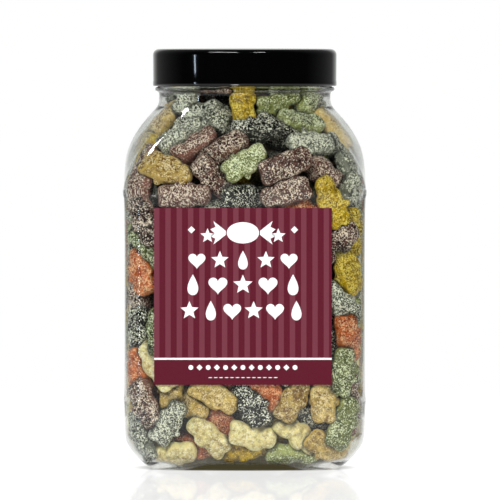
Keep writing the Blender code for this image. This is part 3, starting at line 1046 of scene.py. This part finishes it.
def settle(group):
    count, balls = len(group), len(BALL_PLACES)
    size, middle, turn, held = (
        np.array([one[name] for one in group]) for name in ("size", "middle", "turn", "hold")
    )
    shape = BALL_PLACES[None] * size[:, None, None]
    radii = (BALL_RADII[None] * size[:, None]).ravel()
    owners = np.repeat(np.arange(count), balls)
    first_middle = middle.copy()
    hold = held[:, None, None] * HOLD_WAYS
    give = np.repeat(1.0 - HELD_STIFF * held / HOLD, balls)
    pull = np.repeat([0.0 if one["layer"] == "inner" else PULL for one in group], balls)
    shape_mean = shape.mean(axis=1, keepdims=True)
    first_spot = middle[:, None] + np.einsum("nij,nbj->nbi", turn, shape)
    for step in range(ROUNDS):
        points = (middle[:, None] + np.einsum("nij,nbj->nbi", turn, shape)).reshape(-1, 3)
        if step % NEIGHBOUR_ROUNDS == 0:
            a, b = near_pairs(points, radii, owners)
        gap = points[a] - points[b]
        far = np.maximum(length(gap), 1e-9)
        push = np.maximum(radii[a] + radii[b] - far, 0)
        shove = gap / far[:, None] * (push / (give[a] + give[b]))[:, None]
        move = np.zeros_like(points)
        touching = np.zeros(len(points))
        for ball, sign in ((a, 1), (b, -1)):
            np.add.at(move, ball, sign * shove * give[ball][:, None])
            np.add.at(touching, ball, push > 0)
        points = points + move / np.maximum(touching, 1)[:, None] ** 0.5
        out = outward(wall_room, points)
        points += out * (pull * (1 - step / ROUNDS))[:, None]
        floor_way = outward(floor_room, points)
        wall_clear = np.where(points[:, 2] < HEEL_Z, -SINK, CLEAR - PRESS)
        for room, way, clear in ((wall_room, out, wall_clear), (floor_room, floor_way, -SINK)):
            deep = np.maximum(radii + clear - room(points), 0)
            points -= way * deep[:, None]
        points[:, 2] = np.minimum(points[:, 2], LID_CLEAR_Z - radii)
        # the seven balls have moved on their own, so find the turn and place that fit them best
        goal = points.reshape(count, balls, 3) * (1 - hold) + first_spot * hold
        goal_mean = goal.mean(axis=1, keepdims=True)
        spread = np.einsum("nbi,nbj->nij", goal - goal_mean, shape - shape_mean)
        u, _, v = np.linalg.svd(spread)
        u[:, :, 2] *= np.sign(np.linalg.det(u @ v))[:, None]
        turn = u @ v
        middle = goal_mean[:, 0] - np.einsum("nij,nj->ni", turn, shape_mean[:, 0])
    drift = length(middle - first_middle)[held > 0] * 1000
    print("front sweets moved by", round(drift.mean(), 1), "mm, at most", round(drift.max(), 1))
    for one, place, way in zip(group, middle, turn):
        one["middle"], one["turn"] = place, way


settle(sweets)

# %% [markdown]
# ## Pouring them into meshes
#
# Each sweet takes one of the moulds, bends it a little, and presses flat wherever it would
# pass through the wall, as a soft sweet does. All sweets of one colour then become a single
# mesh, because hundreds of loose objects are slow to handle. What the jelly's finish has to
# know of each point goes with it as an attribute: shade, dust, painted depth shade, painted
# contact shade, and rim, which the jelly paints as a highlight.

# %% Bending and pressing a sweet
PRESS_CLEAR = 0.0005
FLAT_SOFT = 0.0013  # a sweet begins to flatten this far from the wall
SIDE_BEND, LIFT_BEND, TAPER = 5.5, 4.5, 1.6  # the spread of each among the sweets


def bent(points, draw):
    x, y, z = points.T
    side, lift = draw.normal(0, SIDE_BEND), draw.normal(0, LIFT_BEND)
    waist = 1 + draw.normal(0, TAPER) * x
    stretch = draw.uniform(0.95, 1.05)
    return np.stack([x * stretch, y * waist + side * x * x, z + lift * x * x], axis=1)


def pressed(points):
    """Moves what would pass the wall, the floor or the lid back inside."""
    for room in (wall_room, floor_room):
        gap = room(points)
        near = gap < FLAT_SOFT
        gap = gap[near]
        soft = PRESS_CLEAR + (FLAT_SOFT - PRESS_CLEAR) * np.exp((gap - FLAT_SOFT) / FLAT_SOFT)
        back = np.maximum(soft, PRESS_CLEAR) - gap
        points[near] -= outward(room, points[near]) * back[:, None]
    points[:, 2] = np.minimum(points[:, 2], LID_CLEAR_Z)
    return points


# %% Dust, and how close the neighbours are
DUST = {"black": (0.40, 0.38), "dusty_black": (0.62, 0.66), "plum": (0.44, 0.44)}
OTHER_DUST = (0.40, 0.54)
DUST_START_Z, DUST_RISE = 0.03, 0.10
DUST_SPREAD = 0.08
# how far from a neighbour the painted contact shade reaches
CONTACT_SHADE_REACH = 0.0016
NEIGHBOUR_REACH = 0.030


def dust_on(one, draw):
    """How dusty a sweet is, from its colour's dust low in the jar to that high in the jar."""
    height = min(max((one["middle"][2] - DUST_START_Z) / DUST_RISE, 0), 1)
    low, high = DUST.get(one["kind"], OTHER_DUST)
    return min(max(low + (high - low) * height + draw.normal(0, DUST_SPREAD), 0), 1)


def squeezed(points, one, balls, radii, owners):
    """How close each point is to a neighbouring sweet: 1 where they touch, 0 well apart. The jelly is
    darkened by it, as painted shade where sweets touch.
    """
    near = length(balls - one["middle"]) < NEIGHBOUR_REACH
    near &= owners != one["number"]
    if not near.any():
        return np.zeros(len(points))
    gap = length(points[:, None] - balls[near][None]) - radii[near][None]
    return 1 - smooth_step(gap.min(axis=1) / CONTACT_SHADE_REACH)


# %% One mesh of all the sweets of a colour
LOOSE = 0.97
# painted shade for points deep in the heap: the depth where it begins, and the depth over which it
# grows to full
DEPTH_SHADE_START = 0.0045
DEPTH_SHADE_RISE = 0.0120


def pour(kind, group, draw):
    points, faces, shade, dust, painted_contact_shade = [], [], [], [], []
    total = 0
    for one in group:
        shape, triangles = BABIES[draw.integers(len(BABIES))]
        place = pressed(bent(shape, draw) * (one["size"] * LOOSE) @ one["turn"].T + one["middle"])
        points.append(place)
        # painted shade where this sweet touches a neighbour
        painted_contact_shade.append(squeezed(place, one, *all_balls))
        faces.append(triangles + total)
        total += len(shape)
        shade.append(np.full(len(shape), draw.uniform(0, 1)))
        dust.append(np.full(len(shape), dust_on(one, draw)))
    everywhere = np.vstack(points)
    # painted shade: the deeper a point lies behind the wall or above the floor, the darker its jelly
    # is painted
    depth = np.minimum(wall_room(everywhere), floor_room(everywhere))
    painted_depth_shade = smooth_step((depth - DEPTH_SHADE_START) / DEPTH_SHADE_RISE)
    finish = new_finish(f"{kind}_jelly", lambda tree, point: jelly(tree, point, kind))
    made = mesh_object(f"{kind}_jelly_babies", everywhere, np.vstack(faces).tolist(), finish)
    normals = np.zeros(len(everywhere) * 3, np.float32)
    made.data.vertices.foreach_get("normal", normals)
    # rim: how far each point turns away from the wall, which the jelly paints as a highlight
    rim = 1 - np.abs((normals.reshape(-1, 3) * outward(wall_room, everywhere)).sum(axis=1))
    kept = {"shade": shade, "dust": dust, "painted_contact_shade": painted_contact_shade, "painted_depth_shade": [painted_depth_shade], "rim": [rim]}
    for name, values in kept.items():
        stored = made.data.attributes.new(name, "FLOAT", "POINT")
        stored.data.foreach_set("value", np.concatenate(values).astype(np.float32))
    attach(made, "root")
    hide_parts("jelly_babies")
    return made


all_balls = (
    np.concatenate([one["middle"] + BALL_PLACES * one["size"] @ one["turn"].T for one in sweets]),
    np.concatenate([BALL_RADII * one["size"] for one in sweets]),
    np.repeat(np.arange(len(sweets)), len(BALL_PLACES)),
)
for number, one in enumerate(sweets):
    one["number"] = number
pour_draw = np.random.default_rng(8)
for kind in JELLIES:
    group = [one for one in sweets if one["kind"] == kind]
    made = pour(kind, group, pour_draw)
    print(f"{kind}: {len(group)} sweets, {len(made.data.polygons)} triangles")

# %% [markdown]
# ## The dark middle of the heap
#
# Deep between the sweets it is dark, and nobody sees what lies in the middle of the jar. One
# lumpy body fills it, coloured dark as painted shade, which costs far less than another hundred
# sweets. Its lumps are about as big as a sweet, so that a gap between two sweets never shows
# a flat wall.

# %% A lumpy core
CORE_DEPTH = 0.0225
CORE_POINTS = 96
CORE_LEVELS = np.linspace(0.020, 0.186, 60)
CORE_LOW_Z, CORE_LOW_ROUND = 0.0195, 0.012
CORE_HIGH_Z, CORE_HIGH_ROUND = 0.1865, 0.010
SMALLEST_END = 0.02
LUMP_SHARE = 0.035
LUMP_X, LUMP_Y, LUMP_UP, LUMP_DOWN = 390, 410, 150, 330  # radians for each metre


def core_skin():
    rings = []
    for z in CORE_LEVELS:
        half = inner_half(z) - CORE_DEPTH
        end = min((z - CORE_LOW_Z) / CORE_LOW_ROUND, (CORE_HIGH_Z - z) / CORE_HIGH_ROUND, 1.0)
        ring = jar_ring(z, half * sqrt(max(end, SMALLEST_END)), CORE_POINTS)
        x, y, height = ring.T
        lumps = np.sin(x * LUMP_X + height * LUMP_UP) * np.sin(y * LUMP_Y - height * LUMP_DOWN)
        ring[:, :2] *= (1 + LUMP_SHARE * lumps)[:, None]
        rings.append(ring)
    return skin(rings)


def painted_shade_core(tree, point):
    specks = noise(tree, point, scale=900.0, detail=3.0)
    blots = noise(tree, point, scale=60.0, detail=1.0)
    # painted shade: the core is coloured far darker than the sweets, for the shade deep in the heap
    body = blots.between(linear(24, 20, 16), linear(62, 52, 34))
    inputs = {
        "Base Color": specks.ramp(0.60, 8).between(body, linear(120, 112, 92)),
        "Roughness": 0.5 + specks * 0.3,
        "Normal": bump(tree, specks, strength=0.5, distance=0.0005),
    }
    return principled(tree, inputs)


core = mesh_object("heap_core", *core_skin(), new_finish("painted_shade_core", painted_shade_core))
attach(core, "root")
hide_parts("jelly_babies")
print("core:", len(core.data.polygons), "faces")

# %% [markdown]
# ## The studio
#
# The jar stands on a pale glossy floor in front of white, as on a photographer's table. The
# floor glows a little, so that it stays white, and mirrors by over a third, except under the
# jar, where its glow is darkened into a painted shadow and it doesn't mirror. A picture of a
# studio could light the jar, but a few sums do as well: the world is white where the camera
# looks straight at it, a backdrop behind the jar where it gives light, and a dimmer card where
# gloss mirrors it.

# %% A pale floor
FLOOR_RADIUS = 1.5
FLOOR_RINGS = (0.02, 0.3, 1.0)
FLOOR_POINTS = 96
STAGE_Z = -0.0002
FADE_START, FADE_WIDTH = 0.45, 0.5  # shares of the radius, where the floor fades away
FLOOR_GLOW = 1.40
GLOW_SHARE = 0.80
MIRROR_SHARE = 0.37
FOOT_REACH = 0.0440  # the jar stands inside this distance from its axis
FOOT_EDGE = 400  # how sharply the floor begins to mirror past it
SHADE_START = 0.0435
SHADE_WIDTH = 0.012  # the soft edge of the shade under the jar
# painted shadow: the colour that the floor's glow turns to under the jar
PAINTED_SHADOW_UNDER_JAR = linear(60, 55, 34)
WHITE = (1.0, 1.0, 1.0)


def pale_floor(tree, point):
    away = Wire.node(tree, "VectorMath", {"operation": "LENGTH"}, {0: point}, "Value")
    aside = Wire.node(tree, "VectorMath", {"operation": "ABSOLUTE"}, {0: point})
    aside = Wire.node(tree, "SeparateXYZ", inputs={0: aside})
    reach = aside.math("MAXIMUM", aside, aside.other("Y"))
    grain = noise(tree, point, scale=60.0).between((0.90, 0.90, 0.89), (0.93, 0.93, 0.92))
    paint = Wire.node(tree, "BsdfDiffuse", inputs={"Color": grain})
    # painted shadow under the jar: the glow fades to dark inside the jar's foot
    painted_shadow_glow = ((away + reach) * 0.5).ramp(SHADE_START, 1 / SHADE_WIDTH).between(PAINTED_SHADOW_UNDER_JAR, WHITE)
    glow = Wire.node(tree, "Emission", inputs={"Color": painted_shadow_glow, "Strength": FLOOR_GLOW})
    paint = mixed(tree, GLOW_SHARE, paint, glow)
    mirror = Wire.node(tree, "BsdfAnisotropic", inputs={"Roughness": 0.015})
    paint = mixed(tree, reach.ramp(FOOT_REACH, FOOT_EDGE) * MIRROR_SHARE, paint, mirror)
    clear = Wire.node(tree, "BsdfTransparent")
    fade = away.ramp(FLOOR_RADIUS * FADE_START, 1 / (FLOOR_RADIUS * FADE_WIDTH))
    return mixed(tree, fade, paint, clear)


floor_points = np.vstack([circle_ring(STAGE_Z, FLOOR_RADIUS * r, FLOOR_POINTS) for r in FLOOR_RINGS])
floor_faces = [tuple(range(FLOOR_POINTS))]
for low in range(0, (len(FLOOR_RINGS) - 1) * FLOOR_POINTS, FLOOR_POINTS):
    for i in range(FLOOR_POINTS):
        j = (i + 1) % FLOOR_POINTS
        high = low + FLOOR_POINTS
        floor_faces.append((low + i, high + i, high + j, low + j))
floor_finish = new_finish("pale_floor", pale_floor)
floor = mesh_object("floor", floor_points, floor_faces, floor_finish, smooth=False)

# %% A white world
BACKDROP_START, BACKDROP_SLOPE = -0.15, 2.0
BACKDROP_DARK, BACKDROP_WHITE = (0.03, 0.03, 0.031), (0.95, 0.95, 0.95)
OVERHEAD_SLOPE, OVERHEAD_DIM = 1.5, 0.65  # the backdrop gets dimmer towards the top
CARD_START, CARD_SLOPE = -0.10, 0.25
MIDDLE_START, MIDDLE_SLOPE = 0.80, 3.5  # the card is brightest right behind the jar
CARD_DARK, CARD_LIGHT = (0.008, 0.008, 0.008), (0.90, 0.92, 0.89)


def white_world():
    made = bpy.data.worlds.new("white_world")
    made.use_nodes = True
    tree = made.node_tree
    tree.nodes.clear()
    bounced = Wire.node(tree, "LightPath", output="Diffuse Depth")
    in_gloss = bounced.other("Glossy Depth").clamped()
    seen_straight = (1 - (bounced + in_gloss)).clamped()
    direction = Wire.node(tree, "TexCoord", output="Generated")
    behind = Wire.node(tree, "SeparateXYZ", inputs={0: direction}, output="Y")
    overhead = (behind.other("Z") * OVERHEAD_SLOPE).clamped()
    backdrop = behind.ramp(BACKDROP_START, BACKDROP_SLOPE) * (1 - overhead * OVERHEAD_DIM)
    backdrop = backdrop.between(BACKDROP_DARK, BACKDROP_WHITE)
    card = behind.ramp(CARD_START, CARD_SLOPE) + behind.ramp(MIDDLE_START, MIDDLE_SLOPE)
    card = card.clamped().between(CARD_DARK, CARD_LIGHT)
    colour = seen_straight.between(in_gloss.between(backdrop, card), WHITE)
    sky = Wire.node(tree, "Background", inputs={"Color": colour, "Strength": 1.0})
    Wire.node(tree, "OutputWorld", inputs={"Surface": sky})
    return made


bpy.context.scene.world = white_world()
print("floor:", FLOOR_RADIUS, "m in radius")

# %% [markdown]
# ## The lamps
#
# The sweets are lit hard from the front left, yet the black lid shows only one thin blue line
# and two streaks, and the shoulder the glint of a window. One lamp can't do both. So the front
# lamp leaves out the jar and the lid, two soft lamps leave no spot on gloss, a narrow strip
# makes the line, and small lamps light the jar alone or the lid alone.


# %% Lights
def soft_light(name, place, width, height, watts, mirrored=True, colour=WHITE):
    """An area light that faces the jar. One that isn't mirrored leaves no spot on gloss."""
    data = bpy.data.lights.new(name, "AREA")
    data.shape = "RECTANGLE"
    data.size, data.size_y = width, height
    data.energy = watts
    data.color = colour
    made = in_scene(name, data)
    made.location = place
    made.rotation_euler = (Vector((0, 0, 0.1)) - Vector(place)).to_track_quat("-Z", "Y").to_euler()
    made.visible_glossy = mirrored
    made.visible_camera = False
    made.visible_transmission = False
    return made


def link_lamp(lamp, pieces, state):
    """INCLUDE: the lamp lights these pieces only. EXCLUDE: it lights all but these."""
    linked = bpy.data.collections.new(f"{lamp.name}_pieces")
    for piece in pieces:
        linked.objects.link(piece)
    for member in linked.collection_objects:
        member.light_linking.link_state = state
    lamp.light_linking.receiver_collection = linked


link_lamp(soft_light("key", (-0.45, -1.90, 0.95), 0.3, 0.3, 23.0), (jar, lid), "EXCLUDE")
soft_light("fill", (0.80, -1.55, 0.12), 0.6, 0.4, 10.5, mirrored=False)
soft_light("strip", (-1.28, -0.60, 0.20), 0.03, 0.5, 1.2, colour=(0.70, 0.84, 1.0))
# place, width, height, watts, and the piece that it lights
GLINTS = (
    ("window_low", (-0.866, 0.575, 1.381), 0.34, 0.11, 4.0, jar),
    ("window_high", (-0.839, 0.557, 1.408), 0.18, 0.025, 0.50, jar),
    ("overhead_left", (-0.57, -0.76, 1.60), 0.88, 0.06, 11.0, lid),
    ("overhead_right", (0.41, -0.86, 1.60), 0.38, 0.06, 4.4, lid),
)
for name, place, width, tall, watts, piece in GLINTS:
    link_lamp(soft_light(name, place, width, tall, watts), (piece,), "INCLUDE")
soft_light("back", (0.2, 1.2, 1.0), 1.0, 0.6, 7.0, mirrored=False)
print("lamps:", len(bpy.data.lights))

# %% [markdown]
# ## The camera
#
# The picture shows almost no perspective, so it was taken from far off with a long lens. We
# stand seven metres away, with the eye about 23 cm above the floor, a little higher than the
# lid. From there a lens of about 1017 mm gives one pixel to half a millimetre. The jar's axis
# is a little left of the middle of the picture.

# %% A long lens from far off
CAMERA_AWAY = 7.0
CAMERA_RAISED = 0.125
JAR_FRONT = -0.05
PICTURE = 500
SENSOR = 36.0
eye = bpy.data.cameras.new("camera")
eye.sensor_width = SENSOR
eye.lens = SENSOR * CAMERA_AWAY / (PICTURE * PIXEL)
eye.clip_end = 50
camera = in_scene("camera", eye)
aim = Vector(((PICTURE / 2 - AXIS_PIXEL) * PIXEL, JAR_FRONT, (GROUND_PIXEL - PICTURE / 2) * PIXEL))
camera.location = aim + Vector((0, -CAMERA_AWAY, CAMERA_RAISED))
camera.rotation_euler = (aim - camera.location).to_track_quat("-Z", "Y").to_euler()
bpy.context.scene.camera = camera
bpy.context.scene.view_settings.view_transform = "Standard"
print("lens:", round(eye.lens), "mm")
